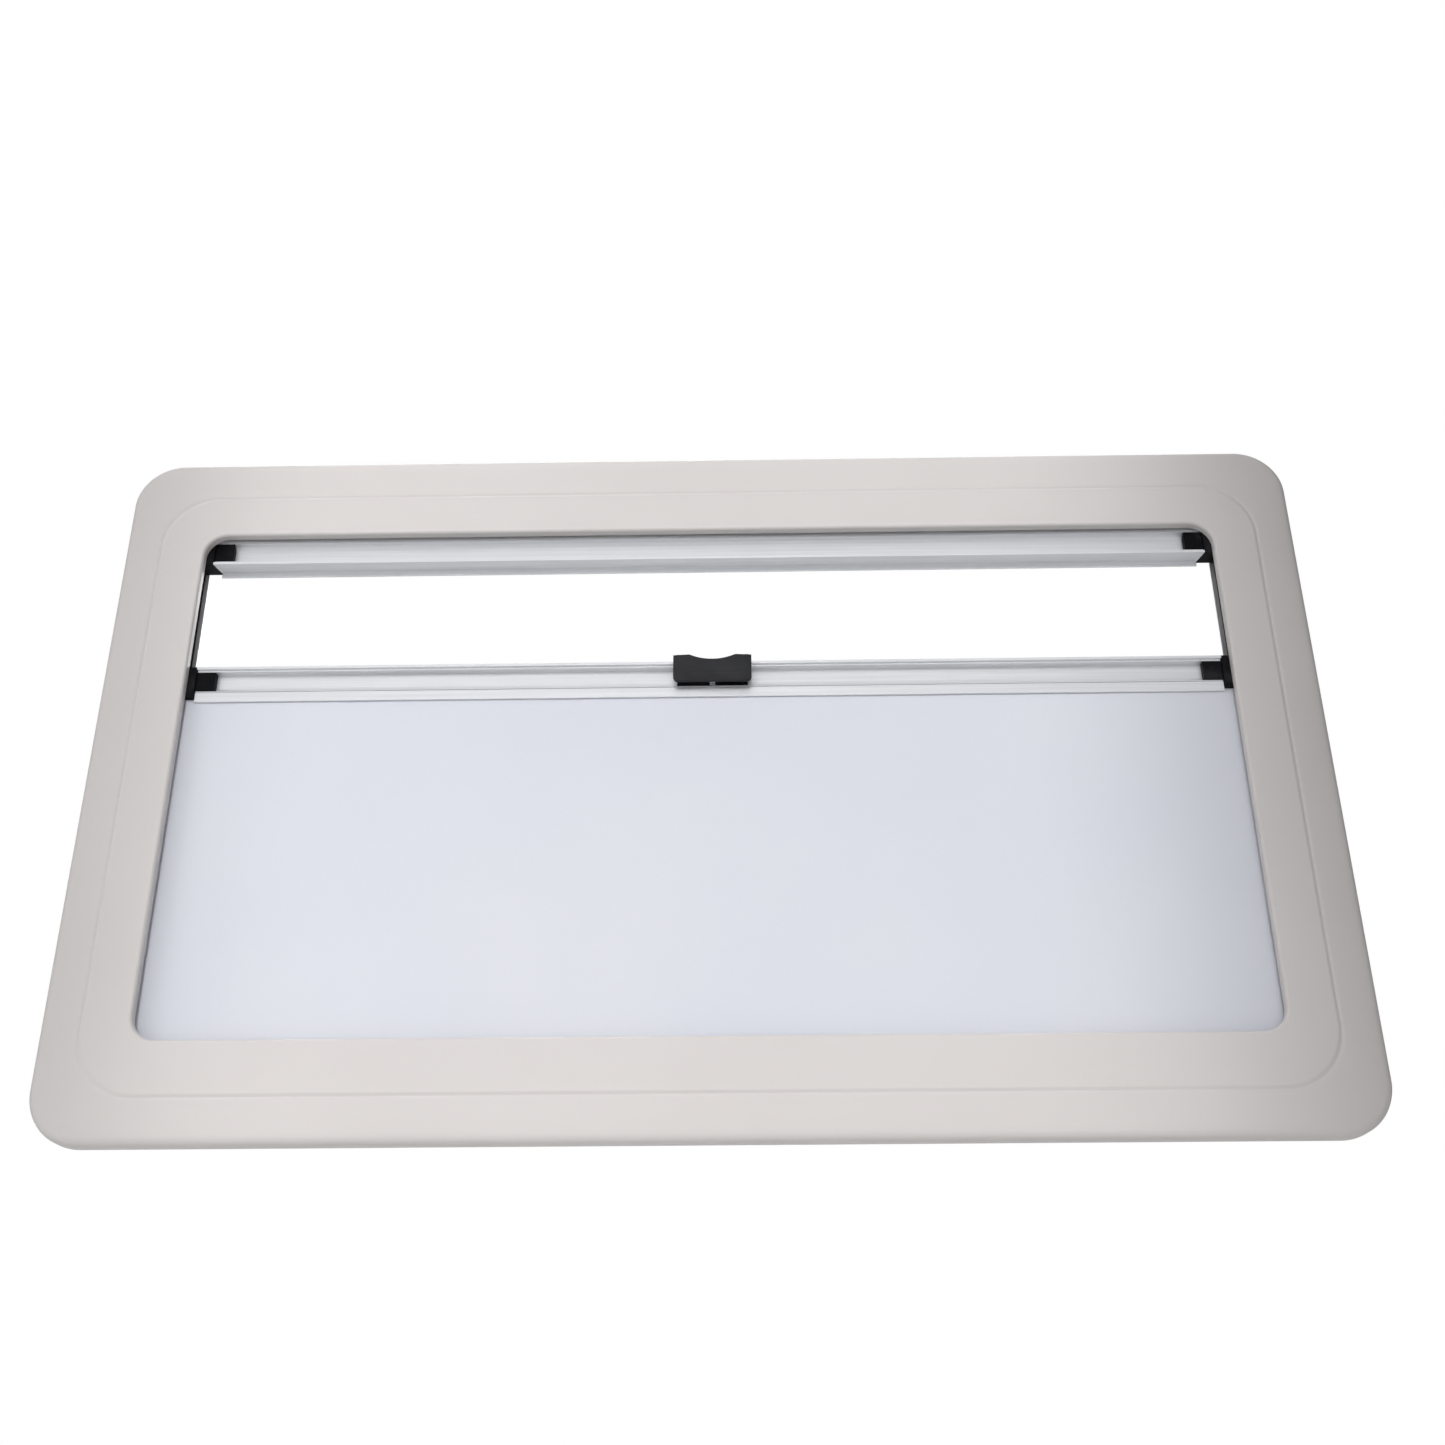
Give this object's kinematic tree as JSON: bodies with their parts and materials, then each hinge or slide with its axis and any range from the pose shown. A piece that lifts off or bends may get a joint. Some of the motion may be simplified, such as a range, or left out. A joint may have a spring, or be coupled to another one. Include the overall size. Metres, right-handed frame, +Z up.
{
  "type": "window inner frame with double roller blind",
  "caption": "Inner trim frame for a caravan window, with a blackout roller blind that rises from the bottom and a fly screen that comes down from the top on guide rails.",
  "frame": {"origin": "centre of the frame on the wall's face, which is the plane of the rim's back edge", "axes": "+X along the window's width to the right as seen from the room, +Z up, +Y out through the wall; the room is on -Y"},
  "size_m": [0.98, 0.038, 0.58],
  "materials": {
    "surround": "fine satin moulded grain, warm cream grey",
    "anodised": "satin anodised extrusion",
    "rail_metal": "satin anodised extrusion",
    "black_plastic": "matt black moulding",
    "handle_plastic": "fine-grained charcoal black moulding",
    "cassette_metal": "satin anodised extrusion",
    "blackout_cloth": "coated white blackout cloth with a fine emboss",
    "screen_net": "dark woven glass-fibre insect net",
    "pile": "black pile strip",
    "felt": "grey felt",
    "steel": "bright zinc-plated steel",
    "tube_metal": "mill-finish tube"
  },
  "bodies": {
    "frame": {"surround_frame": "surround", "rail_screws": "steel", "bracket_screws": "steel", "left_guide_rail": "rail_metal", "left_pile_strip": "pile", "right_guide_rail": "rail_metal", "right_pile_strip": "pile", "blackout_cassette": "cassette_metal", "flyscreen_cassette": "cassette_metal", "blackout_left_bracket": "black_plastic", "blackout_right_bracket": "black_plastic", "flyscreen_left_bracket": "black_plastic", "flyscreen_right_bracket": "black_plastic"},
    "blackout_bar": {"blackout_pull_bar": "anodised", "blackout_left_shoe": "black_plastic", "blackout_right_shoe": "black_plastic", "blackout_brake_pads": "felt", "blackout_fabric": "blackout_cloth", "latch_base": "black_plastic", "latch_pin": "steel", "latch_spring": "steel"},
    "blackout_roller": {"blackout_tube": "tube_metal", "blackout_roll": "blackout_cloth", "blackout_left_plug": "black_plastic", "blackout_right_plug": "black_plastic"},
    "blackout_tension": {"blackout_spindle": "steel", "blackout_spring": "steel"},
    "flyscreen_bar": {"flyscreen_pull_bar": "anodised", "flyscreen_left_shoe": "black_plastic", "flyscreen_right_shoe": "black_plastic", "flyscreen_brake_pads": "felt", "flyscreen_net": "screen_net"},
    "flyscreen_roller": {"flyscreen_tube": "tube_metal", "flyscreen_roll": "screen_net", "flyscreen_left_plug": "black_plastic", "flyscreen_right_plug": "black_plastic"},
    "flyscreen_tension": {"flyscreen_spindle": "steel", "flyscreen_spring": "steel"},
    "latch": {"latch_handle": "handle_plastic"}
  },
  "joints": [
    {"name": "blackout_slide", "type": "slide", "parent": "frame", "child": "blackout_bar", "axis": [0, 0, 1], "range_m": [-0.2859, 0.0966], "deforming": ["blackout_fabric"]},
    {"name": "flyscreen_slide", "type": "slide", "parent": "frame", "child": "flyscreen_bar", "axis": [0, 0, 1], "range_m": [-0.0966, 0], "deforming": ["flyscreen_net"]},
    {"name": "blackout_roller_spin", "type": "hinge", "parent": "frame", "child": "blackout_roller", "pos_m": [0, 0.0034, -0.23825], "axis": [1, 0, 0], "range_deg": [-580, 1700]},
    {"name": "flyscreen_roller_spin", "type": "hinge", "parent": "frame", "child": "flyscreen_roller", "pos_m": [0, 0.0034, 0.23825], "axis": [1, 0, 0], "range_deg": [-10, 560]},
    {"name": "blackout_tension_turn", "type": "hinge", "parent": "frame", "child": "blackout_tension", "pos_m": [0, 0.0034, -0.23825], "axis": [1, 0, 0], "continuous": true},
    {"name": "flyscreen_tension_turn", "type": "hinge", "parent": "frame", "child": "flyscreen_tension", "pos_m": [0, 0.0034, 0.23825], "axis": [1, 0, 0], "continuous": true},
    {"name": "latch_pivot", "type": "hinge", "parent": "blackout_bar", "child": "latch", "pos_m": [0.0045, -0.014, 0.078], "axis": [1, 0, 0], "range_deg": [0, 12], "stiffness_Nm_per_rad": 0.3, "springref_deg": -5.73}
  ],
  "couplings": [
    {"joint": "blackout_roller_spin", "follows": "blackout_slide", "rad_per_m": -103.09},
    {"joint": "flyscreen_roller_spin", "follows": "flyscreen_slide", "rad_per_m": -98.039}
  ]
}
